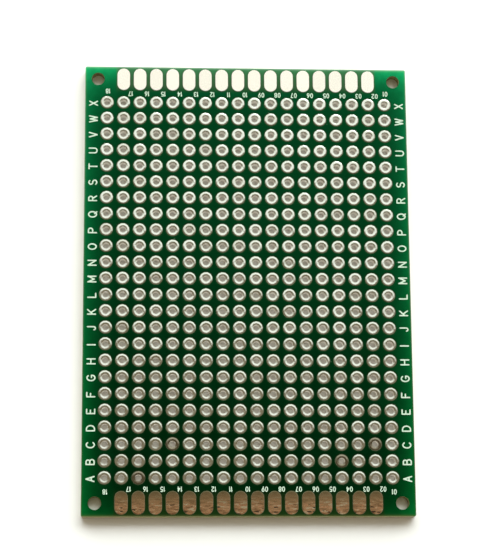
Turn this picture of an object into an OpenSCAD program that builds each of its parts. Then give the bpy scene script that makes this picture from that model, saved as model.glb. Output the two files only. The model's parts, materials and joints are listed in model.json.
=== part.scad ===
// A double-sided prototype board. A sheet of glass-fibre laminate carries a square grid of
// plated holes in lettered rows, a line of long solder pads along each short end, a green
// solder mask on both faces and a screw hole in each corner.
//
// The underside of the edge pads lies on z = 0 and the board is centred on the origin.
// X runs across the columns and Y runs along them. Row A is the one nearest -Y.

/* [Board] */
// Width of the board, across the columns
board_w = 50; // [49:0.5:80]
// Length of the board, along the columns
board_l = 70; // [69:0.5:110]
// Thickness of the laminate between the two masks
laminate_t = 1.53; // [0.8:0.01:3.2]
// Radius of the four corners of the board
corner_r = 0.3; // [0.1:0.1:1]
// Thickness of the solder mask on each face
mask_t = 0.03; // [0.02:0.005:0.06]
// Bare laminate left between a pad and the mask around it
mask_gap = 0.05; // [0.02:0.01:0.08]

/* [Hole grid] */
// Distance between neighbouring lead holes, both ways
pitch = 2.54; // [2.1:0.01:2.6]
// Number of lead holes across the board
columns = 18; // [3:1:18]
// Number of rows along the board
rows = 24; // [2:1:24]
// Diameter of a lead hole, inside its plating
lead_hole_d = 1; // [0.6:0.05:1.2]
// Thickness of the plating on the wall of a lead hole
plating_t = 0.05; // [0.03:0.01:0.1]
// Outer diameter of the solder ring around a lead hole
ring_d = 1.95; // [1.6:0.05:2.35]
// Height of a ring's crown above the laminate
ring_rise = 0.065; // [0.05:0.005:0.07]

/* [Edge pads] */
// Width of an edge pad
edge_pad_w = 1.93; // [1.2:0.01:2.3]
// Length of an edge pad
edge_pad_l = 3.5; // [2.5:0.1:4.2]
// Distance from an edge pad to the end of the board
edge_pad_gap = 0.3; // [0.2:0.05:0.6]
// Height of an edge pad's flat crown above the laminate
edge_pad_rise = 0.075; // [0.07:0.005:0.1]
// Width of the sloping rim around an edge pad's crown
edge_pad_rim = 0.12; // [0.05:0.01:0.3]
// Columns beside each corner that have no edge pad
bare_columns = 1; // [1:1:4]

/* [Corner holes] */
// Diameter of a corner hole
corner_hole_d = 2; // [1.2:0.1:2.4]
// Distance from a corner hole's centre to the two nearest edges
corner_hole_inset = 2; // [1.6:0.1:2.4]

/* [Hidden] */
// Copper foil under the solder of every pad and ring
foil_t = 0.035;
// Straight steps in the curve of a ring's crown, from the bore to its edge
crown_steps = 4;
// Overshoot that takes a corner cutter clear of the outline
clear = 1;
half_t = laminate_t / 2;
middle_z = edge_pad_rise + half_t;
lead_r = lead_hole_d / 2;
barrel_r = lead_r + plating_t;
ring_r = ring_d / 2;
edge_pad_y = board_l / 2 - edge_pad_gap - edge_pad_l / 2;
corner_hole_x = board_w / 2 - corner_hole_inset;
corner_hole_y = board_l / 2 - corner_hole_inset;
ROW_LETTERS = "abcdefghijklmnopqrstuvwxyz";
ROW_NODES = [for (row = [0 : rows - 1]) str("hole_plating_row_", ROW_LETTERS[row])];
$fn = 48;

// Columns count from the -X side and rows from the -Y side, both from 0
function column_x(column) = (column - (columns - 1) / 2) * pitch;
function row_y(row) = (row - (rows - 1) / 2) * pitch;

// Height of a ring's crown above the laminate, at a share of the way from bore to edge
function crown_rise(share) = foil_t + (ring_rise - foil_t) * 4 * share * (1 - share);

// Half-outline of the crown on one side: side is 1 for the front and -1 for the back
function crown(side) = [
    for (step = [0 : crown_steps])
        let (share = step / crown_steps)
            [lead_r + (ring_r - lead_r) * share, side * (half_t + crown_rise(share))]
];

function reversed(points) = [for (i = [len(points) - 1 : -1 : 0]) points[i]];

module at_each_hole() {
    for (column = [0 : columns - 1])
        for (row = [0 : rows - 1])
            translate([column_x(column), row_y(row)]) children();
}

module at_each_corner() {
    for (flip_x = [0, 1])
        for (flip_y = [0, 1])
            mirror([flip_x, 0]) mirror([0, flip_y]) children();
}

// One line of edge pads, at the end of the board that side names: -1 is row A's end
module at_each_edge_pad(side) {
    for (column = [bare_columns : columns - 1 - bare_columns])
        translate([column_x(column), side * edge_pad_y]) children();
}

module board_outline() {
    difference() {
        square([board_w, board_l], center = true);
        at_each_corner() translate([board_w / 2 - corner_r, board_l / 2 - corner_r]) {
            difference() {
                square(corner_r + clear);
                circle(corner_r);
            }
        }
    }
}

module corner_holes() {
    at_each_corner() translate([corner_hole_x, corner_hole_y]) circle(d = corner_hole_d);
}

module obround(w, l) {
    square([w, l - w], center = true);
    for (end = [-1, 1])
        translate([0, end * (l - w) / 2]) circle(d = w);
}

module laminate() {
    color("darkkhaki") translate([0, 0, edge_pad_rise]) linear_extrude(laminate_t) {
        difference() {
            board_outline();
            corner_holes();
            at_each_hole() circle(barrel_r);
        }
    }
}

// The mask is the same on both faces, with an opening over every pad, ring and hole
module solder_mask(z) {
    color("seagreen") translate([0, 0, z]) linear_extrude(mask_t) {
        difference() {
            board_outline();
            corner_holes();
            at_each_hole() circle(ring_r + mask_gap);
            for (side = [-1, 1])
                at_each_edge_pad(side)
                    obround(edge_pad_w + 2 * mask_gap, edge_pad_l + 2 * mask_gap);
        }
    }
}

module solder_mask_front() {
    solder_mask(edge_pad_rise + laminate_t);
}

module solder_mask_back() {
    solder_mask(edge_pad_rise - mask_t);
}

// A barrel through the laminate with a crowned ring on each face, all one piece of metal
module hole_plating() {
    rotate_extrude() polygon(concat(
        crown(1),
        [[ring_r, half_t], [barrel_r, half_t], [barrel_r, -half_t], [ring_r, -half_t]],
        reversed(crown(-1))
    ));
}

module hole_plating_row(row) {
    color("silver")
        for (column = [0 : columns - 1])
            translate([column_x(column), row_y(row), middle_z]) hole_plating();
}

// Half of an edge pad's section: upright foil, then a sloping rim up to the flat crown
edge_pad_section = [
    [0, 0],
    [edge_pad_w / 2, 0],
    [edge_pad_w / 2, foil_t],
    [edge_pad_w / 2 - edge_pad_rim, edge_pad_rise],
    [0, edge_pad_rise]
];

// An edge pad that stands on z = 0, with its section turned round each end
module edge_pad() {
    straight = edge_pad_l - edge_pad_w;
    for (end = [-1, 1])
        translate([0, end * straight / 2, 0]) rotate_extrude() polygon(edge_pad_section);
    rotate([90, 0, 0]) linear_extrude(straight, center = true) {
        polygon(edge_pad_section);
        mirror([1, 0]) polygon(edge_pad_section);
    }
}

module edge_pads(side) {
    color("gainsboro") at_each_edge_pad(side) edge_pad();
}

module edge_pads_front(side) {
    translate([0, 0, edge_pad_rise + laminate_t]) edge_pads(side);
}

module edge_pads_back(side) {
    translate([0, 0, edge_pad_rise]) mirror([0, 0, 1]) edge_pads(side);
}

laminate();
solder_mask_front();
solder_mask_back();
for (row = [0 : rows - 1])
    hole_plating_row(row);
edge_pads_front(-1);  // edge_pads_front_a_end
edge_pads_front(1);  // edge_pads_front_x_end
edge_pads_back(-1);  // edge_pads_back_a_end
edge_pads_back(1);  // edge_pads_back_x_end
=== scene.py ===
import json
import math

import bpy
from mathutils import Euler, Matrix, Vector


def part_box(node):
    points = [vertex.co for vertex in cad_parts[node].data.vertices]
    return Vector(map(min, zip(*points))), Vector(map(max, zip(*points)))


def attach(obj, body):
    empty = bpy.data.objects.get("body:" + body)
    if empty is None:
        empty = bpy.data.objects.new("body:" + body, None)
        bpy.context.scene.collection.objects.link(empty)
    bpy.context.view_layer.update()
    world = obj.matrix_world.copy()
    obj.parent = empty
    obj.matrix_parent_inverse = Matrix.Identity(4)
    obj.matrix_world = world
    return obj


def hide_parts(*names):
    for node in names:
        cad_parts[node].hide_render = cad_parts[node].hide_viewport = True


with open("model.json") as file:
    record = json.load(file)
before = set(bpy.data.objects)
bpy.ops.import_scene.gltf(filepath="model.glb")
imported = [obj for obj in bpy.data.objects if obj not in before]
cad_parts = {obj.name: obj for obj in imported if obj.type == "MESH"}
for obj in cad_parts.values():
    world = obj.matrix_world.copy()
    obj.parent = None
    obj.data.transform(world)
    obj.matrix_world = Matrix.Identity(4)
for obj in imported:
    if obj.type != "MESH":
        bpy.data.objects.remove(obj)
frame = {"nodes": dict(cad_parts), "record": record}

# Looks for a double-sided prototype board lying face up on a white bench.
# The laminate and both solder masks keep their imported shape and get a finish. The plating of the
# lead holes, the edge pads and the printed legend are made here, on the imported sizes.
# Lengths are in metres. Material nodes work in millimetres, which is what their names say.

MM = 0.001
scene = bpy.context.scene
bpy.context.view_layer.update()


# ---------------------------------------------------------------- sizes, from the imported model

mounts = {mount["name"]: mount for mount in frame["record"]["mounts"]}
first_hole = Vector(mounts["lead_hole_a18"]["pos_m"])
last_hole = Vector(mounts["lead_hole_x01"]["pos_m"])
lead_r = mounts["lead_hole_a18"]["dims"]["r_mm"] * MM
row_nodes = sorted(name for name in frame["nodes"] if name.startswith("hole_plating_row_"))
edge_pad_nodes = sorted(name for name in frame["nodes"] if name.startswith("edge_pads_"))

rows = len(row_nodes)
pitch = (last_hole.y - first_hole.y) / (rows - 1)
columns = round((last_hole.x - first_hole.x) / pitch) + 1

laminate_low, laminate_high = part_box("laminate")
mask_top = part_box("solder_mask_front")[1].z
row_low, row_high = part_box(row_nodes[0])
pads_low, pads_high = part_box("edge_pads_front_x_end")

half_width = laminate_high.x
half_length = laminate_high.y
laminate_top, laminate_bottom = laminate_high.z, laminate_low.z
laminate_middle = (laminate_top + laminate_bottom) / 2
laminate_half = (laminate_top - laminate_bottom) / 2
ring_r = (row_high.y - row_low.y) / 2
ring_rise = row_high.z - laminate_top
plating = 0.05 * MM
mask_gap = 0.05 * MM
edge_pads = int((pads_high.x - pads_low.x) / pitch) + 1
edge_pad_w = (pads_high.x - pads_low.x) - (edge_pads - 1) * pitch
edge_pad_l = pads_high.y - pads_low.y
edge_pad_y = (pads_high.y + pads_low.y) / 2
edge_pad_inner_y = edge_pad_y - edge_pad_l / 2
edge_pad_rise = pads_high.z - laminate_top


# ---------------------------------------------------------------- node graphs

class Graph:
    """Adds nodes to a tree. An input is a plain value, or the output of another node."""

    def __init__(self, tree):
        self.tree = tree

    def wire(self, socket, value):
        if isinstance(value, bpy.types.NodeSocket):
            self.tree.links.new(value, socket)
        elif value is not None:
            socket.default_value = value

    def add(self, kind, inputs=None, **settings):
        node = self.tree.nodes.new(kind)
        for name, value in settings.items():
            setattr(node, name, value)
        for name, value in (inputs or {}).items():
            if isinstance(name, int):
                self.wire(node.inputs[name], value)
            else:
                self.wire(next(s for s in node.inputs if s.name == name and s.enabled), value)
        return node

    def math(self, operation, a, b=None, c=None, clamp=False):
        node = self.add("ShaderNodeMath", {0: a, 1: b, 2: c}, operation=operation, use_clamp=clamp)
        return node.outputs[0]

    def vector(self, operation, a, b=None, scale=None):
        node = self.add("ShaderNodeVectorMath", {0: a, 1: b, 3: scale}, operation=operation)
        return node.outputs["Vector"]

    def mix(self, share, a, b, blend="MIX"):
        node = self.add("ShaderNodeMix", {0: share, 6: a, 7: b}, data_type="RGBA", blend_type=blend)
        return node.outputs[2]

    def rescale(self, value, low, high, new_low=0.0, new_high=1.0, curve="LINEAR"):
        node = self.add(
            "ShaderNodeMapRange",
            {"Value": value, "From Min": low, "From Max": high, "To Min": new_low, "To Max": new_high},
            interpolation_type=curve)
        return node.outputs["Result"]

    def noise(self, place, scale, detail=2.0, roughness=0.5, output="Fac"):
        node = self.add("ShaderNodeTexNoise",
                        {"Vector": place, "Scale": scale, "Detail": detail, "Roughness": roughness})
        return node.outputs[output]

    def ramp(self, share, stops, curve="LINEAR"):
        node = self.add("ShaderNodeValToRGB", {0: share})
        node.color_ramp.interpolation = curve
        elements = node.color_ramp.elements
        for element, (position, colour) in zip(elements, stops):
            element.position, element.color = position, (*colour, 1)
        for position, colour in stops[2:]:
            elements.new(position).color = (*colour, 1)
        return node.outputs["Color"]

    def split(self, vector):
        return self.add("ShaderNodeSeparateXYZ", {0: vector}).outputs

    def join(self, x=0.0, y=0.0, z=0.0):
        return self.add("ShaderNodeCombineXYZ", {0: x, 1: y, 2: z}).outputs[0]


def node_group(name, kind, sockets):
    """A new node group with named sockets: (name, "INPUT" or "OUTPUT", type, starting value)."""
    tree = bpy.data.node_groups.new(name, kind)
    for label, way, socket_type, value in sockets:
        socket = tree.interface.new_socket(name=label, in_out=way, socket_type=socket_type)
        if value is not None:
            socket.default_value = value
    graph = Graph(tree)
    return graph, graph.add("NodeGroupInput").outputs, graph.add("NodeGroupOutput").inputs


def new_material(name):
    """An empty node material: (material, graph, Principled BSDF, place on the board in mm)."""
    material = bpy.data.materials.new(name)
    material.use_nodes = True
    graph = Graph(material.node_tree)
    shader = next(n for n in graph.tree.nodes if n.type == "BSDF_PRINCIPLED")
    place = graph.add("ShaderNodeTexCoord").outputs["Object"]
    return material, graph, shader, graph.vector("SCALE", place, scale=1000.0)


# ---------------------------------------------------------------- shared effects

FLOAT, VECTOR = "NodeSocketFloat", "NodeSocketVector"


def make_edge_reach():
    """Masks that are 1 at an edge of the board and fade inwards over Reach millimetres."""
    graph, given, out = node_group("edge_reach", "ShaderNodeTree", [
        ("Place mm", "INPUT", VECTOR, None),
        ("Half Width mm", "INPUT", FLOAT, half_width / MM),
        ("Half Length mm", "INPUT", FLOAT, half_length / MM),
        ("Side Reach mm", "INPUT", FLOAT, 1.5),
        ("End Reach mm", "INPUT", FLOAT, 1.9),
        ("Sides", "OUTPUT", FLOAT, None),
        ("Row X End", "OUTPUT", FLOAT, None),
        ("Row A End", "OUTPUT", FLOAT, None),
    ])
    x, y, _ = graph.split(given["Place mm"])

    def fade(inset, reach):
        return graph.math("EXPONENT", graph.math("DIVIDE", graph.math("MINIMUM", inset, 0.0), reach))

    graph.wire(out["Sides"], fade(
        graph.math("SUBTRACT", graph.math("ABSOLUTE", x), given["Half Width mm"]), given["Side Reach mm"]))
    graph.wire(out["Row X End"], fade(
        graph.math("SUBTRACT", y, given["Half Length mm"]), given["End Reach mm"]))
    graph.wire(out["Row A End"], fade(
        graph.math("SUBTRACT", graph.math("MULTIPLY", y, -1.0), given["Half Length mm"]),
        given["End Reach mm"]))
    return graph.tree


def make_hole_distance():
    """Distance in millimetres from the axis of the nearest lead hole."""
    graph, given, out = node_group("hole_distance", "ShaderNodeTree", [
        ("Place mm", "INPUT", VECTOR, None),
        ("Pitch mm", "INPUT", FLOAT, pitch / MM),
        ("Half Columns", "INPUT", FLOAT, (columns - 1) / 2),
        ("Half Rows", "INPUT", FLOAT, (rows - 1) / 2),
        ("Distance mm", "OUTPUT", FLOAT, None),
    ])
    x, y, _ = graph.split(given["Place mm"])
    offsets = []
    for place, half_count in ((x, given["Half Columns"]), (y, given["Half Rows"])):
        steps = graph.math("ADD", graph.math("DIVIDE", place, given["Pitch mm"]), half_count)
        nearest = graph.math("MAXIMUM", graph.math("ROUND", steps), 0.0)
        nearest = graph.math("MINIMUM", nearest, graph.math("MULTIPLY", half_count, 2.0))
        offsets.append(graph.math("MULTIPLY", graph.math("SUBTRACT", steps, nearest), given["Pitch mm"]))
    flat = graph.join(offsets[0], offsets[1], 0.0)
    length = graph.add("ShaderNodeVectorMath", {0: flat}, operation="LENGTH").outputs["Value"]
    graph.wire(out["Distance mm"], length)
    return graph.tree


def make_dust():
    """Sparse specks, 1 on a speck. Coverage 0 to 1 says how many cells hold one."""
    graph, given, out = node_group("dust_specks", "ShaderNodeTree", [
        ("Place mm", "INPUT", VECTOR, None),
        ("Cells per mm", "INPUT", FLOAT, 1.2),
        ("Coverage", "INPUT", FLOAT, 0.25),
        ("Speck Size", "INPUT", FLOAT, 0.08),
        ("Specks", "OUTPUT", FLOAT, None),
    ])
    cells = graph.add("ShaderNodeTexVoronoi",
                      {"Vector": given["Place mm"], "Scale": given["Cells per mm"]}, feature="F1")
    chance = graph.split(cells.outputs["Color"])
    size = graph.math("MULTIPLY", given["Speck Size"], chance[1])
    inside = graph.math("LESS_THAN", cells.outputs["Distance"], size)
    kept = graph.math("LESS_THAN", chance[0], given["Coverage"])
    graph.wire(out["Specks"], graph.math("MULTIPLY", inside, kept))
    return graph.tree


def make_solder_skin():
    """Levelled solder: soft waves, fine grain and faint drag lines across the board."""
    graph, given, out = node_group("solder_skin", "ShaderNodeTree", [
        ("Place mm", "INPUT", VECTOR, None),
        ("Wave Scale", "INPUT", FLOAT, 2.0),
        ("Grain Scale", "INPUT", FLOAT, 22.0),
        ("Drag", "INPUT", FLOAT, 0.3),
        ("Height", "OUTPUT", FLOAT, None),
        ("Grain", "OUTPUT", FLOAT, None),
        ("Drag Lines", "OUTPUT", FLOAT, None),
    ])
    place = given["Place mm"]
    waves = graph.noise(place, given["Wave Scale"], detail=1.0)
    grain = graph.noise(place, given["Grain Scale"], detail=3.0, roughness=0.6)
    stretched = graph.vector("MULTIPLY", place, (0.75, 3.4, 1.0))
    lines = graph.noise(stretched, 1.0, detail=3.0, roughness=0.62)
    height = graph.math("MULTIPLY_ADD", grain, 0.06, waves)
    height = graph.math("MULTIPLY_ADD", graph.math("MULTIPLY", lines, given["Drag"]), 1.0, height)
    graph.wire(out["Height"], height)
    graph.wire(out["Grain"], grain)
    graph.wire(out["Drag Lines"], lines)
    return graph.tree


EDGE_REACH = make_edge_reach()
HOLE_DISTANCE = make_hole_distance()
DUST = make_dust()
SOLDER_SKIN = make_solder_skin()


def place_group(graph, tree, **inputs):
    """A shared effect placed in a material. Keyword names are socket names with _ for a space."""
    node = graph.add("ShaderNodeGroup", node_tree=tree)
    for name, value in inputs.items():
        graph.wire(node.inputs[name.replace("_", " ")], value)
    return node.outputs


# ---------------------------------------------------------------- materials

def make_mask_finish():
    """Glossy green solder mask, painted lighter where light would leak from the laminate's edges; painted
    light and shade round the rings, round the edge pads and on its rim.
    """
    material, graph, shader, place = new_material("green_solder_mask")
    x, y, _ = graph.split(place)
    reach = place_group(graph, EDGE_REACH, Place_mm=place)
    along = graph.rescale(y, -half_length / MM, half_length / MM)

    cloud = graph.noise(place, 0.16, detail=2.0)
    body = graph.mix(cloud, (0.0, 0.0020, 0.0002, 1), (0.0002, 0.0044, 0.0006, 1))

    side_light = graph.math("MULTIPLY", reach["Sides"], graph.rescale(along, 0.0, 1.0, 0.074, 0.096))
    far_light = graph.math("MULTIPLY", reach["Row X End"], 0.29)
    near_light = graph.math("MULTIPLY", reach["Row A End"], 0.029)
    light = graph.math("ADD", graph.math("ADD", side_light, far_light), near_light)
    shielded = graph.rescale(
        graph.math("ABSOLUTE", x), pads_high.x / MM - 0.4, pads_high.x / MM + 0.5, 0.60, 1.0, "SMOOTHSTEP")
    light = graph.math("MULTIPLY", light, shielded)
    light = graph.math("MULTIPLY", light, graph.rescale(graph.noise(place, 0.9), 0.3, 0.7, 0.88, 1.12))
    tint = graph.mix(along, (0.006, 1.0, 0.17, 1), (0.02, 1.0, 0.34, 1))
    glow = graph.vector("SCALE", tint, scale=light)
    colour = graph.vector("ADD", body, glow)

    near_hole = place_group(graph, HOLE_DISTANCE, Place_mm=place)["Distance mm"]
    opening = (ring_r + mask_gap) / MM
    # The mask dips round each ring opening and is painted olive there: painted shade and a painted spill of
    # the rings' light.
    thin = graph.rescale(near_hole, opening, opening + 0.22, 1.0, 0.0, "SMOOTHSTEP")
    colour = graph.mix(graph.math("MULTIPLY", thin, 0.8), colour, (0.0085, 0.0150, 0.0040, 1))
    # Painted light and shade round the edge pads: the mask there is painted dark brown by row A's end and
    # pale by row X's end.
    inner_y, last_pad_x = edge_pad_inner_y / MM, pads_high.x / MM
    past_inner = graph.rescale(
        graph.math("ABSOLUTE", y), inner_y - 0.5, inner_y + 1.0, 0.0, 1.0, "SMOOTHSTEP")
    in_line = graph.rescale(graph.math("ABSOLUTE", x), last_pad_x, last_pad_x + 0.3, 1.0, 0.0)
    by_pads = graph.math("MULTIPLY", past_inner, in_line)
    pad_end_light_and_shade = graph.mix(along, (0.018, 0.012, 0.001, 1), (0.110, 0.085, 0.060, 1))
    colour = graph.mix(graph.math("MULTIPLY", by_pads, 0.3), colour, pad_end_light_and_shade)

    # Painted light and shade on the mask's outermost rim: a pale green-white painted highlight by row X's
    # end, a dull olive painted shade by row A's end, half as strong along the sides.
    rim_reach = place_group(graph, EDGE_REACH, Place_mm=place, Side_Reach_mm=0.07, End_Reach_mm=0.11)
    painted_rim = graph.math("ADD", rim_reach["Row X End"], rim_reach["Row A End"])
    painted_rim = graph.math("MULTIPLY_ADD", rim_reach["Sides"], 0.5, graph.math("MULTIPLY", painted_rim, 0.95), clamp=True)
    rim_light_and_shade = graph.mix(along, (0.130, 0.125, 0.045, 1), (0.46, 0.62, 0.50, 1))
    colour = graph.mix(painted_rim, colour, rim_light_and_shade)
    dust = place_group(graph, DUST, Place_mm=place, Cells_per_mm=0.8, Coverage=0.16, Speck_Size=0.07)
    colour = graph.mix(graph.math("MULTIPLY", dust["Specks"], 0.25), colour, (0.17, 0.27, 0.17, 1))
    graph.wire(shader.inputs["Base Color"], colour)

    smear = graph.noise(graph.vector("MULTIPLY", place, (0.5, 0.22, 1.0)), 1.0, detail=3.0)
    graph.wire(shader.inputs["Roughness"], graph.rescale(smear, 0.3, 0.7, 0.13, 0.21))

    yarn_x, yarn_y = 0.52, 0.60
    weave_x = graph.math("SINE", graph.math("MULTIPLY", x, 2 * math.pi / yarn_x))
    weave_y = graph.math("SINE", graph.math("MULTIPLY", y, 2 * math.pi / yarn_y))
    weave = graph.math("MULTIPLY", weave_x, weave_y)
    peel = graph.noise(place, 3.2, detail=2.0)
    height = graph.math("MULTIPLY_ADD", weave, 0.05, peel)
    height = graph.math("MULTIPLY_ADD", thin, -1.2, height)
    bump = graph.add("ShaderNodeBump", {"Height": height, "Strength": 0.25, "Distance": 0.00001})
    graph.wire(shader.inputs["Normal"], bump.outputs[0])
    shader.inputs["Specular IOR Level"].default_value = 0.5
    shader.inputs["Specular Tint"].default_value = (0.015, 0.90, 0.26, 1)
    return material


def make_laminate_finish():
    """Glass-fibre laminate: pressed plies that show as lines round the cut edges, and faces painted dark as
    shade.
    """
    material, graph, shader, place = new_material("glass_fibre_laminate")
    z = graph.split(place)[2]
    ply = 0.19
    layers = graph.math("MULTIPLY", z, 2 * math.pi / ply)
    plies = graph.math("SINE", graph.math("MULTIPLY_ADD", graph.noise(place, 1.5), 0.8, layers))
    strands = graph.noise(graph.vector("MULTIPLY", place, (9.0, 9.0, 34.0)), 1.0, detail=3.0)
    pale = graph.rescale(graph.math("MULTIPLY_ADD", plies, 0.22, strands), 0.2, 0.85)
    colour = graph.mix(pale, (0.17, 0.145, 0.055, 1), (0.40, 0.37, 0.19, 1))
    reach = place_group(graph, EDGE_REACH, Place_mm=place, Side_Reach_mm=0.08, End_Reach_mm=0.08)
    saw = graph.math("MAXIMUM", reach["Sides"], graph.math("MAXIMUM", reach["Row X End"], reach["Row A End"]))
    colour = graph.mix(graph.math("MULTIPLY", saw, 0.35), colour, (0.55, 0.53, 0.35, 1))
    # Painted shade: the laminate's faces, seen in the narrow gaps round the rings, are painted dark olive;
    # the edges stay pale.
    depth = graph.math("ABSOLUTE", graph.math("SUBTRACT", z, laminate_middle / MM))
    face = graph.math("GREATER_THAN", depth, laminate_half / MM - 0.01)
    painted_gap_shade = graph.math("MULTIPLY", face, graph.math("SUBTRACT", 1.0, saw))
    colour = graph.mix(graph.math("MULTIPLY", painted_gap_shade, 0.9), colour, (0.055, 0.065, 0.035, 1))
    graph.wire(shader.inputs["Base Color"], colour)
    graph.wire(shader.inputs["Roughness"], graph.rescale(strands, 0.2, 0.8, 0.42, 0.70))
    bump = graph.add("ShaderNodeBump", {
        "Height": graph.math("MULTIPLY_ADD", plies, 0.4, strands), "Strength": 0.5, "Distance": 0.00002})
    graph.wire(shader.inputs["Normal"], bump.outputs[0])
    return material


def make_ring_finish():
    """Bright levelled solder on the rings, matt inside the barrels."""
    material, graph, shader, place = new_material("levelled_solder_rings")
    tone = graph.add("ShaderNodeAttribute", attribute_name="tone").outputs["Fac"]
    skin = place_group(graph, SOLDER_SKIN, Place_mm=place, Wave_Scale=2.6, Grain_Scale=18.0, Drag=0.0)
    z = graph.split(place)[2]
    depth = graph.math("ABSOLUTE", graph.math("SUBTRACT", z, laminate_middle / MM))
    inside = graph.rescale(depth, laminate_half / MM - 0.06, laminate_half / MM + 0.01, 1.0, 0.0)

    bright = graph.mix(graph.rescale(tone, 0.0, 0.25), (0.66, 0.66, 0.59, 1), (0.77, 0.79, 0.74, 1))
    bright = graph.mix(graph.rescale(skin["Grain"], 0.35, 0.65, 0.0, 0.25), bright, (0.56, 0.54, 0.47, 1))
    dull_share, dull_below_y = 0.10, -pitch / MM * 9
    dull = graph.math("MULTIPLY", graph.math("LESS_THAN", tone, dull_share),
                      graph.math("LESS_THAN", graph.split(place)[1], dull_below_y))
    bright = graph.mix(dull, bright, (0.30, 0.27, 0.21, 1))
    barrel = graph.mix(skin["Grain"], (0.68, 0.67, 0.64, 1), (0.77, 0.76, 0.73, 1))
    graph.wire(shader.inputs["Base Color"], graph.mix(inside, bright, barrel))
    shine = graph.rescale(skin["Grain"], 0.3, 0.7, 0.05, 0.11)
    graph.wire(shader.inputs["Roughness"], graph.math("MULTIPLY_ADD", inside, 0.25, shine))
    graph.wire(shader.inputs["Metallic"], graph.math("MULTIPLY_ADD", inside, -0.75, 1.0))
    # A faint glow lifts the deep middle of the barrel, which is otherwise too dark
    deep = graph.rescale(depth, 0.30, laminate_half / MM, 1.0, 0.0)
    lift = graph.mix(deep, (0.0, 0.0, 0.0, 1), (0.128, 0.114, 0.090, 1))
    graph.wire(shader.inputs["Emission Color"], lift)
    shader.inputs["Emission Strength"].default_value = 1.0
    bump = graph.add("ShaderNodeBump", {"Height": skin["Height"], "Strength": 0.35, "Distance": 0.00002})
    graph.wire(shader.inputs["Normal"], bump.outputs[0])
    return material


def make_edge_pad_finish():
    """Thicker solder on the edge pads. Row A's carry a painted warm reflection, drag lines with painted
    highlights, small pits and dark olive inner ends.
    """
    material, graph, shader, place = new_material("levelled_solder_edge_pads")
    tone = graph.add("ShaderNodeAttribute", attribute_name="tone").outputs["Fac"]
    skin = place_group(graph, SOLDER_SKIN, Place_mm=place, Wave_Scale=1.1, Grain_Scale=14.0, Drag=0.45)
    y = graph.split(place)[1]
    row_a_end = graph.math("LESS_THAN", y, 0.0)
    bright = graph.mix(tone, (0.86, 0.80, 0.73, 1), (0.92, 0.86, 0.79, 1))
    # Row A's pads are painted coppery: a painted warm reflection on the same solder as row X's.
    row_a_warm_reflection = graph.mix(tone, (0.84, 0.53, 0.30, 1), (0.92, 0.60, 0.36, 1))
    bright = graph.mix(row_a_end, bright, row_a_warm_reflection)
    # Row A's drag lines run from dark copper to bright cream; the orange and cream streaks are painted
    # highlights.
    lines = graph.ramp(skin["Drag Lines"], [
        (0.38, (0.50, 0.29, 0.17)), (0.45, (0.78, 0.50, 0.31)), (0.51, (0.84, 0.58, 0.38)),
        (0.55, (1.00, 0.50, 0.28)), (0.62, (1.00, 0.92, 0.74))])
    middle_y = edge_pad_y / MM
    outward = graph.rescale(graph.math("ABSOLUTE", y), middle_y - 1.2, middle_y + 0.4, 0.15, 0.9)
    colour = graph.mix(graph.math("MULTIPLY", outward, row_a_end), bright, lines)
    inner_y = edge_pad_inner_y / MM
    # Row A's pads turn dark olive towards their inner ends.
    row_a_inner_olive = graph.rescale(y, -inner_y - 2.4, -inner_y, 0.0, 0.80)
    row_a_inner_olive = graph.math("MULTIPLY", row_a_inner_olive, row_a_end)
    colour = graph.mix(row_a_inner_olive, colour, (0.17, 0.19, 0.11, 1))
    outer = graph.rescale(graph.math("ABSOLUTE", y), half_length / MM - 2.0, half_length / MM - 1.5)
    wide_place = graph.vector("MULTIPLY", place, (0.8, 2.2, 1.0))
    pits = place_group(graph, DUST, Place_mm=wide_place, Cells_per_mm=1.3, Coverage=0.50, Speck_Size=0.55)
    pitted = graph.math("MULTIPLY", graph.math("MULTIPLY", pits["Specks"], outer), row_a_end)
    colour = graph.mix(graph.math("MULTIPLY", pitted, 0.85), colour, (0.09, 0.05, 0.02, 1))
    graph.wire(shader.inputs["Base Color"], colour)
    graph.wire(shader.inputs["Roughness"], graph.rescale(skin["Grain"], 0.3, 0.7, 0.10, 0.20))
    rough_end = graph.math("MULTIPLY_ADD", row_a_end, 0.92, 0.08)
    height = graph.math("MULTIPLY_ADD", pitted, -0.5, graph.math("MULTIPLY", skin["Height"], rough_end))
    bump = graph.add("ShaderNodeBump", {"Height": height, "Strength": 0.25, "Distance": 0.00002})
    graph.wire(shader.inputs["Normal"], bump.outputs[0])
    shader.inputs["Metallic"].default_value = 1.0
    return material


def make_ink_finish():
    """Printed legend ink, a little thin and uneven over the mask."""
    material, graph, shader, place = new_material("white_legend_ink")
    patch = graph.noise(place, 3.0, detail=3.0, roughness=0.6)
    colour = graph.mix(graph.rescale(patch, 0.3, 0.7), (0.43, 0.57, 0.44, 1), (0.62, 0.72, 0.61, 1))
    graph.wire(shader.inputs["Base Color"], colour)
    graph.wire(shader.inputs["Roughness"], graph.rescale(patch, 0.3, 0.7, 0.62, 0.45))
    bump = graph.add("ShaderNodeBump", {"Height": patch, "Strength": 0.3, "Distance": 0.00001})
    graph.wire(shader.inputs["Normal"], bump.outputs[0])
    return material


def make_bench_finish():
    """Plain matt white with a faint grain."""
    material, graph, shader, place = new_material("white_bench")
    grain = graph.noise(place, 0.4, detail=4.0)
    graph.wire(shader.inputs["Base Color"],
               graph.mix(grain, (0.90, 0.90, 0.90, 1), (0.92, 0.92, 0.92, 1)))
    bump = graph.add("ShaderNodeBump", {"Height": grain, "Strength": 0.05, "Distance": 0.0001})
    graph.wire(shader.inputs["Normal"], bump.outputs[0])
    shader.inputs["Roughness"].default_value = 0.8
    shader.inputs["Specular IOR Level"].default_value = 0.0
    return material


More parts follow.
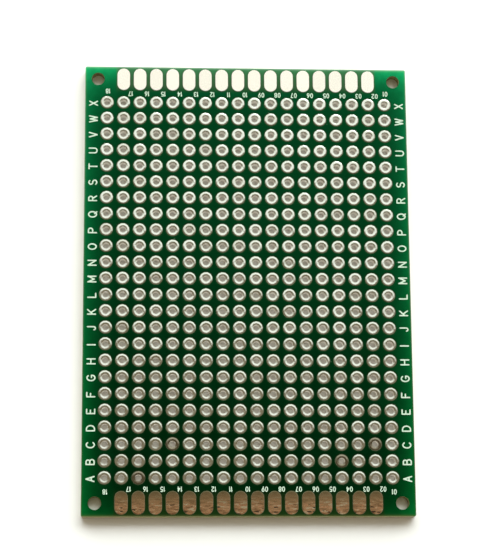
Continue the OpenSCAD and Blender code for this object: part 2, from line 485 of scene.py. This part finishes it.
MASK_FINISH = make_mask_finish()
LAMINATE_FINISH = make_laminate_finish()
RING_FINISH = make_ring_finish()
EDGE_PAD_FINISH = make_edge_pad_finish()
INK_FINISH = make_ink_finish()


# ---------------------------------------------------------------- mesh helpers

def mesh_object(name, vertices, faces, smooth=None):
    """A new mesh object. Edges of flat faces are marked sharp, so that smooth faces keep clear of them."""
    mesh = bpy.data.meshes.new(name)
    mesh.from_pydata(vertices, [], faces)
    mesh.polygons.foreach_set("use_smooth", smooth or [False] * len(faces))
    flat_edges = {key for face in mesh.polygons if not face.use_smooth for key in face.edge_keys}
    for edge in mesh.edges:
        edge.use_edge_sharp = edge.key in flat_edges
    mesh.validate()
    piece = bpy.data.objects.new(name, mesh)
    scene.collection.objects.link(piece)
    return piece


def turned(name, profile, smooth_strips, segments):
    """A closed section of (radius, height) points turned about Z, listed with its inside on the left."""
    count = len(profile)
    vertices = [(r * math.cos(turn), r * math.sin(turn), z)
                for r, z in profile
                for turn in (2 * math.pi * k / segments for k in range(segments))]
    faces, smooth = [], []
    for i in range(count):
        for k in range(segments):
            here, there = i * segments, (i + 1) % count * segments
            k2 = (k + 1) % segments
            faces.append((here + k, here + k2, there + k2, there + k))
            smooth.append(i in smooth_strips)
    return mesh_object(name, vertices, faces, smooth)


def finish_piece(piece, nodes=()):
    """The piece rides on the board and stands for the nodes it replaces."""
    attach(piece, "root")
    if nodes:
        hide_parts(*nodes)


def made_by_nodes(name, base, tree, values, templates):
    """Runs a geometry tree on base and returns its result as one plain mesh object."""
    modifier = base.modifiers.new(name, "NODES")
    modifier.node_group = tree
    identifiers = {s.name: s.identifier for s in tree.interface.items_tree if s.in_out == "INPUT"}
    for label, value in values.items():
        modifier[identifiers[label]] = value
    evaluated = base.evaluated_get(bpy.context.evaluated_depsgraph_get())
    mesh = bpy.data.meshes.new_from_object(evaluated)
    mesh.name = name
    base.modifiers.remove(modifier)
    piece = bpy.data.objects.new(name, mesh)
    scene.collection.objects.link(piece)
    for used in (base, *templates):
        bpy.data.objects.remove(used)
    return piece


# ---------------------------------------------------------------- plating of the lead holes

def make_ring_template():
    """One solder ring on z = 0: a low dome between the bore and an upright rim, sagging towards -Y."""
    rise, wide = ring_rise, ring_r - lead_r
    edge = 1.02 * ring_r  # a twelve-sided ring needs this to keep its mean radius
    profile = [
        (lead_r, 0),
        (edge, 0),
        (edge - 0.01 * wide, 0.60 * rise),
        (ring_r - 0.20 * wide, 0.925 * rise),
        (lead_r + 0.50 * wide, 0.955 * rise),
        (lead_r + 0.27 * wide, 0.80 * rise),
        (lead_r, 0.58 * rise),
    ]
    sag = [0.0, 0.0, 0.0, 0.06 * MM, 0.08 * MM, 0.04 * MM, 0.0]
    segments = 12
    ring = turned("ring_template", profile, smooth_strips={2, 3, 4, 5}, segments=segments)
    for i, vertex in enumerate(ring.data.vertices):
        vertex.co.y -= sag[i // segments]
    return ring


def make_barrel_template():
    """The plated wall of one lead hole, through the laminate."""
    outer = lead_r + plating
    profile = [(lead_r, -laminate_half), (outer, -laminate_half), (outer, laminate_half),
               (lead_r, laminate_half)]
    return turned("barrel_template", profile, smooth_strips={1, 3}, segments=12)


def make_hole_plating_tree():
    """A ring on each face and a barrel between them, at each point of the hole grid."""
    graph, given, out = node_group("hole_plating_grid", "GeometryNodeTree", [
        ("Ring", "INPUT", "NodeSocketObject", None),
        ("Barrel", "INPUT", "NodeSocketObject", None),
        ("Pitch", "INPUT", FLOAT, 0.00254),
        ("Columns", "INPUT", "NodeSocketInt", 18),
        ("Rows", "INPUT", "NodeSocketInt", 24),
        ("Middle", "INPUT", FLOAT, 0.0),
        ("Half Thickness", "INPUT", FLOAT, 0.0),
        ("Lean", "INPUT", FLOAT, 0.02),
        ("Lump Height", "INPUT", FLOAT, 0.00001),
        ("Seed", "INPUT", "NodeSocketInt", 7),
        ("Finish", "INPUT", "NodeSocketMaterial", None),
        ("Geometry", "OUTPUT", "NodeSocketGeometry", None),
    ])

    def span(count):
        return graph.math("MULTIPLY", graph.math("SUBTRACT", count, 1.0), given["Pitch"])

    grid = graph.add("GeometryNodeMeshGrid", {
        "Size X": span(given["Columns"]), "Size Y": span(given["Rows"]),
        "Vertices X": given["Columns"], "Vertices Y": given["Rows"]}).outputs["Mesh"]

    def chance(kind, low, high, extra):
        node = graph.add("FunctionNodeRandomValue", data_type=kind)
        for name, value in (("Min", low), ("Max", high),
                            ("Seed", graph.math("ADD", given["Seed"], float(extra)))):
            graph.wire(next(s for s in node.inputs if s.name == name and s.enabled), value)
        return next(s for s in node.outputs if s.enabled)

    def at_each_hole(template, flip, height, seed):
        shape = graph.add("GeometryNodeObjectInfo", {"Object": template}).outputs["Geometry"]
        lean = given["Lean"]
        less = graph.math("MULTIPLY", lean, -1.0)
        spin = 0.25
        turn = chance(
            "FLOAT_VECTOR",
            graph.join(graph.math("ADD", less, flip), less, -spin),
            graph.join(graph.math("ADD", lean, flip), lean, spin), seed)
        smallest, largest = (0.99, 0.99, 0.86), (1.005, 1.005, 0.94)
        size = chance("FLOAT_VECTOR", smallest, largest, seed + 1)
        copies = graph.add("GeometryNodeInstanceOnPoints", {
            "Points": grid, "Instance": shape, "Rotation": turn, "Scale": size}).outputs[0]
        toned = graph.add("GeometryNodeStoreNamedAttribute", {
            "Geometry": copies, "Name": "tone", "Value": chance("FLOAT", 0.0, 1.0, seed + 2)},
            data_type="FLOAT", domain="INSTANCE").outputs[0]
        return graph.add("GeometryNodeTransform", {
            "Geometry": toned, "Translation": graph.join(0.0, 0.0, height)}).outputs[0]

    top = graph.math("ADD", given["Middle"], given["Half Thickness"])
    bottom = graph.math("SUBTRACT", given["Middle"], given["Half Thickness"])
    together = graph.add("GeometryNodeJoinGeometry")
    for copies in (at_each_hole(given["Ring"], 0.0, top, 1),
                   at_each_hole(given["Ring"], math.pi, bottom, 11)):
        graph.wire(together.inputs[0], copies)
    shape = graph.add("GeometryNodeObjectInfo", {"Object": given["Barrel"]}).outputs["Geometry"]
    barrels = graph.add("GeometryNodeInstanceOnPoints", {"Points": grid, "Instance": shape}).outputs[0]
    graph.wire(together.inputs[0], graph.add("GeometryNodeTransform", {
        "Geometry": barrels, "Translation": graph.join(0.0, 0.0, given["Middle"])}).outputs[0])
    solid = graph.add("GeometryNodeRealizeInstances", {0: together.outputs[0]}).outputs[0]
    lumpy = add_lumps(graph, solid, given, 1150.0)
    finished = graph.add("GeometryNodeSetMaterial", {"Geometry": lumpy, "Material": given["Finish"]})
    graph.wire(out["Geometry"], finished.outputs[0])
    return graph.tree


def add_lumps(graph, solid, given, lumps_per_metre):
    """Shifts what stands above the laminate by a smooth noise, at most Lump Height each way."""
    position = graph.add("GeometryNodeInputPosition").outputs[0]
    z = graph.split(position)[2]
    depth = graph.math("ABSOLUTE", graph.math("SUBTRACT", z, given["Middle"]))
    above = graph.math("GREATER_THAN", depth, graph.math("ADD", given["Half Thickness"], 0.00001))
    wander = graph.noise(position, lumps_per_metre, detail=1.0, output="Color")
    wander = graph.vector("SUBTRACT", wander, (0.5, 0.5, 0.5))
    shift = graph.vector("SCALE", wander, scale=graph.math(
        "MULTIPLY", above, graph.math("MULTIPLY", given["Lump Height"], 2.0)))
    return graph.add("GeometryNodeSetPosition", {"Geometry": solid, "Offset": shift}).outputs[0]


def make_hole_plating():
    """All rings and barrels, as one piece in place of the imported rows."""
    ring, barrel = make_ring_template(), make_barrel_template()
    base = mesh_object("hole_plating_base", [], [])
    piece = made_by_nodes("hole_plating", base, make_hole_plating_tree(), {
        "Ring": ring, "Barrel": barrel, "Pitch": pitch, "Columns": columns, "Rows": rows,
        "Middle": laminate_middle, "Half Thickness": laminate_half, "Lean": 0.013,
        "Lump Height": 0.009 * MM, "Seed": 7, "Finish": RING_FINISH}, (ring, barrel))
    finish_piece(piece, row_nodes)
    return piece


# ---------------------------------------------------------------- edge pads

def make_edge_pad_template():
    """One edge pad on z = 0: upright foil, a rounded rim and a flat crown of levelled solder."""
    half, straight = edge_pad_w / 2, edge_pad_l - edge_pad_w
    section = [(0.0, 0.0), (0.0, 0.93), (0.020, 0.95), (0.06, 0.962), (0.20, 0.966), (0.42, 0.961),
               (0.70, 0.96)]
    arc_steps = 11
    vertices, faces, smooth = [], [], []
    for inset, rise in section:
        r = half * (1 - inset)
        for side in (1, -1):
            for k in range(arc_steps):
                turn = math.pi * k / (arc_steps - 1)
                vertices.append((side * r * math.cos(turn),
                                 side * (straight / 2 + r * math.sin(turn)), rise * edge_pad_rise))
    loop = 2 * arc_steps
    for i in range(len(section) - 1):
        for k in range(loop):
            k2 = (k + 1) % loop
            faces.append((i * loop + k, i * loop + k2, (i + 1) * loop + k2, (i + 1) * loop + k))
            smooth.append(i > 0)
    faces.append(tuple(reversed(range(loop))))
    smooth.append(False)
    inner = (len(section) - 1) * loop
    spine = len(vertices)
    spine_points = 5
    for k in range(spine_points):
        y = straight / 2 - straight * k / (spine_points - 1)
        vertices.append((0, y, 0.96 * edge_pad_rise))
    top, bottom = spine, spine + spine_points - 1
    for k in range(arc_steps - 1):
        faces.append((inner + k, inner + k + 1, top))
        faces.append((inner + arc_steps + k, inner + arc_steps + k + 1, bottom))
        smooth += [True, True]
    left = [inner + arc_steps - 1, inner + arc_steps]
    right = [inner, inner + loop - 1]
    faces.append((left[0], left[1], *range(bottom, top - 1, -1)))
    faces.append((right[1], right[0], *range(top, bottom + 1)))
    smooth += [True, True]
    return mesh_object("edge_pad_template", vertices, faces, smooth)


def make_edge_pad_tree():
    """A line of edge pads along each short end, on the front or turned over onto the back."""
    graph, given, out = node_group("edge_pad_lines", "GeometryNodeTree", [
        ("Pad", "INPUT", "NodeSocketObject", None),
        ("Pitch", "INPUT", FLOAT, 0.00254),
        ("Pads", "INPUT", "NodeSocketInt", 16),
        ("End Distance", "INPUT", FLOAT, 0.033),
        ("Middle", "INPUT", FLOAT, 0.0),
        ("Half Thickness", "INPUT", FLOAT, 0.0),
        ("Flip", "INPUT", FLOAT, 0.0),
        ("Lump Height", "INPUT", FLOAT, 0.00001),
        ("Seed", "INPUT", "NodeSocketInt", 3),
        ("Finish", "INPUT", "NodeSocketMaterial", None),
        ("Geometry", "OUTPUT", "NodeSocketGeometry", None),
    ])
    span = graph.math("MULTIPLY", graph.math("SUBTRACT", given["Pads"], 1.0), given["Pitch"])
    grid = graph.add("GeometryNodeMeshGrid", {
        "Size X": span, "Size Y": graph.math("MULTIPLY", given["End Distance"], 2.0),
        "Vertices X": given["Pads"], "Vertices Y": 2}).outputs["Mesh"]
    shape = graph.add("GeometryNodeObjectInfo", {"Object": given["Pad"]}).outputs["Geometry"]
    copies = graph.add("GeometryNodeInstanceOnPoints", {
        "Points": grid, "Instance": shape, "Rotation": graph.join(given["Flip"], 0.0, 0.0)}).outputs[0]
    tone = graph.add("FunctionNodeRandomValue", data_type="FLOAT")
    graph.wire(next(s for s in tone.inputs if s.name == "Seed" and s.enabled), given["Seed"])
    toned = graph.add("GeometryNodeStoreNamedAttribute", {
        "Geometry": copies, "Name": "tone", "Value": next(s for s in tone.outputs if s.enabled)},
        data_type="FLOAT", domain="INSTANCE").outputs[0]
    side = graph.math("COSINE", given["Flip"])
    height = graph.math("MULTIPLY_ADD", given["Half Thickness"], side, given["Middle"])
    placed = graph.add("GeometryNodeTransform", {
        "Geometry": toned, "Translation": graph.join(0.0, 0.0, height)}).outputs[0]
    solid = graph.add("GeometryNodeRealizeInstances", {0: placed}).outputs[0]
    lumpy = add_lumps(graph, solid, given, 700.0)
    finished = graph.add("GeometryNodeSetMaterial", {"Geometry": lumpy, "Material": given["Finish"]})
    graph.wire(out["Geometry"], finished.outputs[0])
    return graph.tree


def make_edge_pads():
    """The edge pads of each face, as one piece for the front and one for the back."""
    tree = make_edge_pad_tree()
    for face, flip, seed in (("front", 0.0, 3), ("back", math.pi, 9)):
        pad = make_edge_pad_template()
        base = mesh_object("edge_pads_base", [], [])
        piece = made_by_nodes(f"edge_pads_{face}", base, tree, {
            "Pad": pad, "Pitch": pitch, "Pads": edge_pads, "End Distance": edge_pad_y,
            "Middle": laminate_middle, "Half Thickness": laminate_half, "Flip": flip,
            "Lump Height": 0.003 * MM, "Seed": seed, "Finish": EDGE_PAD_FINISH}, (pad,))
        finish_piece(piece, [n for n in edge_pad_nodes if face in n])


# ---------------------------------------------------------------- printed legend

def arc(cx, cy, rx, ry, start, end, steps=9):
    """Points along an ellipse about (cx, cy), between two angles in degrees."""
    turns = [math.radians(start + (end - start) * k / (steps - 1)) for k in range(steps)]
    return [(cx + rx * math.cos(t), cy + ry * math.sin(t)) for t in turns]


# Pen lines of each character, on a cap height of 1: (width, [lines])
LETTERS = {
    "A": (0.62, [[(0, 0), (0.31, 1)], [(0.31, 1), (0.62, 0)], [(0.11, 0.34), (0.51, 0.34)]]),
    "B": (0.60, [[(0, 0), (0, 1)],
                 [(0, 1), (0.30, 1), *arc(0.32, 0.77, 0.23, 0.23, 90, -90), (0, 0.54)],
                 [(0, 0.54), (0.32, 0.54), *arc(0.33, 0.27, 0.27, 0.27, 90, -90), (0, 0)]]),
    "C": (0.66, [arc(0.36, 0.5, 0.36, 0.5, 42, 318, 17)]),
    "D": (0.64, [[(0, 0), (0, 1)], [(0, 1), (0.20, 1), *arc(0.22, 0.5, 0.42, 0.5, 90, -90, 13), (0, 0)]]),
    "E": (0.54, [[(0, 0), (0, 1)], [(0, 1), (0.54, 1)], [(0, 0.53), (0.42, 0.53)], [(0, 0), (0.54, 0)]]),
    "F": (0.54, [[(0, 0), (0, 1)], [(0, 1), (0.54, 1)], [(0, 0.53), (0.42, 0.53)]]),
    "G": (0.68, [[*arc(0.36, 0.5, 0.36, 0.5, 42, 330, 17), (0.68, 0.44)], [(0.68, 0.44), (0.40, 0.44)]]),
    "H": (0.62, [[(0, 0), (0, 1)], [(0.62, 0), (0.62, 1)], [(0, 0.53), (0.62, 0.53)]]),
    "I": (0.0, [[(0, 0), (0, 1)]]),
    "J": (0.40, [[(0.40, 1), (0.40, 0.24), *arc(0.20, 0.22, 0.20, 0.22, 0, -170)]]),
    "K": (0.60, [[(0, 0), (0, 1)], [(0.58, 1), (0, 0.36)], [(0.20, 0.58), (0.60, 0)]]),
    "L": (0.50, [[(0, 1), (0, 0)], [(0, 0), (0.50, 0)]]),
    "M": (0.72, [[(0, 0), (0, 1)], [(0, 1), (0.36, 0.20)],
                 [(0.36, 0.20), (0.72, 1)], [(0.72, 1), (0.72, 0)]]),
    "N": (0.62, [[(0, 0), (0, 1)], [(0, 1), (0.62, 0)], [(0.62, 0), (0.62, 1)]]),
    "O": (0.70, [arc(0.35, 0.5, 0.35, 0.5, 90, 450, 25)]),
    "P": (0.58, [[(0, 0), (0, 1)], [(0, 1), (0.30, 1), *arc(0.31, 0.73, 0.27, 0.27, 90, -90), (0, 0.46)]]),
    "Q": (0.70, [arc(0.35, 0.5, 0.35, 0.5, 90, 450, 25), [(0.44, 0.24), (0.70, -0.04)]]),
    "R": (0.60, [[(0, 0), (0, 1)], [(0, 1), (0.30, 1), *arc(0.31, 0.75, 0.25, 0.25, 90, -90), (0, 0.50)],
                 [(0.30, 0.50), (0.60, 0)]]),
    "S": (0.58, [[*arc(0.29, 0.75, 0.27, 0.25, 35, 262), *arc(0.29, 0.26, 0.29, 0.26, 80, -150)]]),
    "T": (0.62, [[(0, 1), (0.62, 1)], [(0.31, 1), (0.31, 0)]]),
    "U": (0.62, [[(0, 1), (0, 0.30), *arc(0.31, 0.30, 0.31, 0.30, 180, 360, 11), (0.62, 1)]]),
    "V": (0.60, [[(0, 1), (0.30, 0)], [(0.30, 0), (0.60, 1)]]),
    "W": (0.80, [[(0, 1), (0.20, 0)], [(0.20, 0), (0.40, 0.92)],
                 [(0.40, 0.92), (0.60, 0)], [(0.60, 0), (0.80, 1)]]),
    "X": (0.54, [[(0, 0), (0.54, 1)], [(0, 1), (0.54, 0)]]),
}
DIGITS = {
    "0": (0.50, [arc(0.25, 0.5, 0.25, 0.5, 90, 450, 21)]),
    "1": (0.12, [[(0, 0.80), (0.12, 1)], [(0.12, 1), (0.12, 0)]]),
    "2": (0.48, [[*arc(0.24, 0.74, 0.24, 0.26, 160, -30)], [(0.45, 0.60), (0, 0)], [(0, 0), (0.48, 0)]]),
    "3": (0.48, [[*arc(0.22, 0.76, 0.22, 0.24, 150, -90)], [*arc(0.22, 0.27, 0.26, 0.27, 90, -150)]]),
    "4": (0.52, [[(0.38, 0), (0.38, 1)], [(0.38, 1), (0, 0.30)], [(0, 0.30), (0.52, 0.30)]]),
    "5": (0.48, [[(0.44, 1), (0.06, 1)], [(0.06, 1), (0.02, 0.56)],
                 [(0.02, 0.56), *arc(0.22, 0.32, 0.26, 0.32, 105, -140, 11)]]),
    "6": (0.48, [[(0.36, 1), (0.08, 0.56)], arc(0.24, 0.29, 0.24, 0.29, 90, 450, 17),
                 [(0.08, 0.56), (0.02, 0.38)]]),
    "7": (0.48, [[(0, 1), (0.48, 1)], [(0.48, 1), (0.16, 0)]]),
    "8": (0.48, [arc(0.24, 0.76, 0.21, 0.24, 90, 450, 17), arc(0.24, 0.27, 0.24, 0.27, 90, 450, 17)]),
    "9": (0.48, [arc(0.24, 0.71, 0.24, 0.29, 90, 450, 17), [(0.12, 0), (0.40, 0.44)],
                 [(0.40, 0.44), (0.46, 0.62)]]),
}


class InkPlate:
    """Collects pen lines as thin closed strips of ink lying on the mask."""

    def __init__(self, floor_z, thickness):
        self.floor_z, self.thickness = floor_z, thickness
        self.vertices, self.faces = [], []

    def pen_line(self, path, width, lift):
        """One stroke with round ends, lifted a little so that strokes that cross don't share a top."""
        points = [Vector(p) for p in path]
        half = width / 2
        if (points[0] - points[-1]).length < 0.1 * half:
            self.pen_loop(points[:-1], half, lift)
            return
        left, right = [], []
        for i, point in enumerate(points):
            along = (points[min(i + 1, len(points) - 1)] - points[max(i - 1, 0)]).normalized()
            across = Vector((-along.y, along.x)) * half
            left.append(point + across)
            right.append(point - across)

        def cap(centre, start):
            arm = start - centre
            turns = (math.radians(45), math.radians(90), math.radians(135))
            return [centre + Vector((arm.x * math.cos(t) - arm.y * math.sin(t),
                                     arm.x * math.sin(t) + arm.y * math.cos(t))) for t in turns]

        end_cap, start_cap = cap(points[-1], right[-1]), cap(points[0], left[0])
        outline = right + end_cap + left[::-1] + start_cap
        count, n = len(outline), len(points)
        first = len(self.vertices)
        top_z = self.floor_z + self.thickness + lift
        for z in (self.floor_z, top_z):
            self.vertices += [(p.x, p.y, z) for p in outline]
        for k in range(count):
            k2 = (k + 1) % count
            self.faces.append((first + k, first + k2, first + count + k2, first + count + k))
        mirror = [n + 3 + (n - 1 - i) for i in range(n)]
        for base, flip in ((first, True), (first + count, False)):
            plates = [(i, i + 1, mirror[i + 1], mirror[i]) for i in range(n - 1)]
            plates.append((n - 1, *range(n, n + 3), mirror[n - 1]))
            plates.append((0, mirror[0], *range(2 * n + 3, 2 * n + 6)))
            for plate in plates:
                plate = [base + k for k in plate]
                self.faces.append(tuple(reversed(plate)) if flip else tuple(plate))

    def pen_loop(self, points, half, lift):
        """A pen line that closes on itself, as a ring of four-sided sections."""
        first, count = len(self.vertices), len(points)
        top_z = self.floor_z + self.thickness + lift
        for i, point in enumerate(points):
            along = (points[(i + 1) % count] - points[i - 1]).normalized()
            across = Vector((-along.y, along.x)) * half
            left, right = point + across, point - across
            self.vertices += [(right.x, right.y, self.floor_z), (left.x, left.y, self.floor_z),
                              (left.x, left.y, top_z), (right.x, right.y, top_z)]
        for i in range(count):
            here, there = first + 4 * i, first + 4 * ((i + 1) % count)
            for k in range(4):
                k2 = (k + 1) % 4
                self.faces.append((here + k, here + k2, there + k2, there + k))

    def text(self, characters, alphabet, centre, cap_height, pen, gap, turn, squeeze=1.0):
        """Characters centred on a point of the board, turned about it by turn degrees."""
        shapes = [alphabet[c] for c in characters]
        total = sum(w for w, _ in shapes) * cap_height * squeeze + gap * (len(shapes) - 1)
        c, s = math.cos(math.radians(turn)), math.sin(math.radians(turn))
        start = -total / 2
        for width, lines in shapes:
            for k, line in enumerate(lines):
                placed = []
                for px, py in line:
                    u, v = start + px * cap_height * squeeze, (py - 0.5) * cap_height
                    placed.append((centre[0] + u * c - v * s, centre[1] + u * s + v * c))
                self.pen_line(placed, pen, k * 0.0004 * MM)
            start += width * cap_height * squeeze + gap


def make_legend():
    """Row letters down both long sides and column numbers along both ends, printed on the front."""
    plate = InkPlate(mask_top, 0.010 * MM)
    letter_height, letter_pen = 1.20 * MM, 0.20 * MM
    digit_height, digit_pen, digit_gap = 0.68 * MM, 0.13 * MM, 0.20 * MM
    letter_lines_x = (-23.69 * MM, 23.85 * MM)
    for row in range(rows):
        y = first_hole.y + row * pitch - 0.19 * MM
        for x in letter_lines_x:
            plate.text(chr(ord("A") + row), LETTERS, (x, y), letter_height, letter_pen, 0, 90)
    # Numbers stand beside their column, except the two next to the corners, which stand on it
    for column in range(columns):
        label = f"{columns - column:02d}"
        x = first_hole.x + column * pitch
        for y, corner_y in ((-30.92 * MM, -31.32 * MM), (30.63 * MM, 31.01 * MM)):
            if column == 0:
                centre = (x + 0.12 * MM, corner_y)
            elif column == columns - 1:
                centre = (x + 0.20 * MM, corner_y)
            else:
                centre = (x + 1.08 * MM, y)
            plate.text(label, DIGITS, centre, digit_height, digit_pen, digit_gap, 180, squeeze=0.95)
    piece = mesh_object("legend_front", plate.vertices, plate.faces)
    piece.data.materials.append(INK_FINISH)
    finish_piece(piece)
    return piece


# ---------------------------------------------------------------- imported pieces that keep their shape

def give_finish(node, material):
    """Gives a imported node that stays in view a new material."""
    mesh = frame["nodes"][node].data
    mesh.materials.clear()
    mesh.materials.append(material)


# ---------------------------------------------------------------- light, bench and camera

def make_light():
    """A plain soft studio: a pale wall and a broad lamp behind row X's end, pale cards all round."""
    world = bpy.data.worlds.new("soft_studio")
    world.use_nodes = True
    scene.world = world
    graph = Graph(world.node_tree)
    background = next(n for n in graph.tree.nodes if n.type == "BACKGROUND")
    output = next(n for n in graph.tree.nodes if n.type == "OUTPUT_WORLD")
    x, y, z = graph.split(graph.add("ShaderNodeTexCoord").outputs["Generated"])
    # The wall stands behind row X's end, a little round towards +X
    turn = math.radians(10)
    towards = graph.math("ADD", graph.math("MULTIPLY", y, math.cos(turn)),
                         graph.math("MULTIPLY", x, math.sin(turn)))
    across = graph.math("SUBTRACT", graph.math("MULTIPLY", x, math.cos(turn)),
                        graph.math("MULTIPLY", y, math.sin(turn)))

    overhead = (0.24, 0.20, 0.13, 1)
    cards = (0.45, 0.38, 0.29, 1)
    wall = (1.15, 1.20, 1.10, 1)
    lamp = (5.60, 5.90, 5.80, 1)
    # Each pair is where a zone begins and where it is full. towards and across are the parts of a
    # direction that point at the wall and along it, and z is the part that points up.
    wall_starts, wall_full = 0.14, 0.30
    lamp_starts, lamp_full = 0.46, 0.56
    wall_narrows, wall_ends = 0.15, 0.50
    spreads, spread_full = 0.42, 0.66
    low = graph.rescale(z, 0.50, 0.85, 1.0, 0.0, "SMOOTHSTEP")
    room = graph.mix(low, overhead, cards)
    lamp_share = graph.rescale(towards, lamp_starts, lamp_full, 0.0, 1.0, "SMOOTHSTEP")
    behind = graph.mix(lamp_share, wall, lamp)
    narrow = graph.rescale(
        graph.math("ABSOLUTE", across), wall_narrows, wall_ends, 1.0, 0.10, "SMOOTHSTEP")
    wide = graph.rescale(towards, spreads, spread_full, 0.0, 1.0, "SMOOTHSTEP")
    share = graph.math("MULTIPLY_ADD", graph.math("SUBTRACT", 1.0, narrow), wide, narrow)
    starts = graph.rescale(towards, wall_starts, wall_full, 0.0, 1.0, "SMOOTHSTEP")
    colour = graph.mix(graph.math("MULTIPLY", share, starts), room, behind)
    below = graph.math("LESS_THAN", z, 0.0)
    colour = graph.mix(below, colour, (0.5, 0.5, 0.5, 1))
    graph.wire(background.inputs["Color"], colour)
    background.inputs["Strength"].default_value = 1.0
    backdrop = graph.add("ShaderNodeBackground", {"Color": (0.93, 0.93, 0.93, 1), "Strength": 1.0})
    seen = graph.add("ShaderNodeLightPath").outputs["Is Camera Ray"]
    choose = graph.add("ShaderNodeMixShader", {
        0: seen, 1: background.outputs[0], 2: backdrop.outputs[0]})
    graph.wire(output.inputs["Surface"], choose.outputs[0])


def make_bench():
    """The plain pale surface that the board lies on."""
    reach = 1.6
    bench = mesh_object("bench", [(-reach, -reach, 0), (reach, -reach, 0), (reach, reach, 0),
                                  (-reach, reach, 0)], [(0, 1, 2, 3)])
    bench.data.materials.append(make_bench_finish())


def make_camera():
    """A long lens, almost overhead and leaning a little towards row A's end."""
    lens = bpy.data.cameras.new("camera")
    lens.lens, lens.sensor_width = 130.505, 36.0
    lens.clip_start, lens.clip_end = 0.01, 10.0
    camera = bpy.data.objects.new("camera", lens)
    camera.location = Vector((-18.294, -67.210, 303.336)) * MM
    camera.rotation_euler = Euler((math.radians(12.756), math.radians(-3.442), math.radians(-0.438)))
    scene.collection.objects.link(camera)
    scene.camera = camera


give_finish("laminate", LAMINATE_FINISH)
give_finish("solder_mask_front", MASK_FINISH)
give_finish("solder_mask_back", MASK_FINISH)
make_hole_plating()
make_edge_pads()
make_legend()
make_bench()
make_light()
make_camera()
scene.view_settings.view_transform = "Standard"
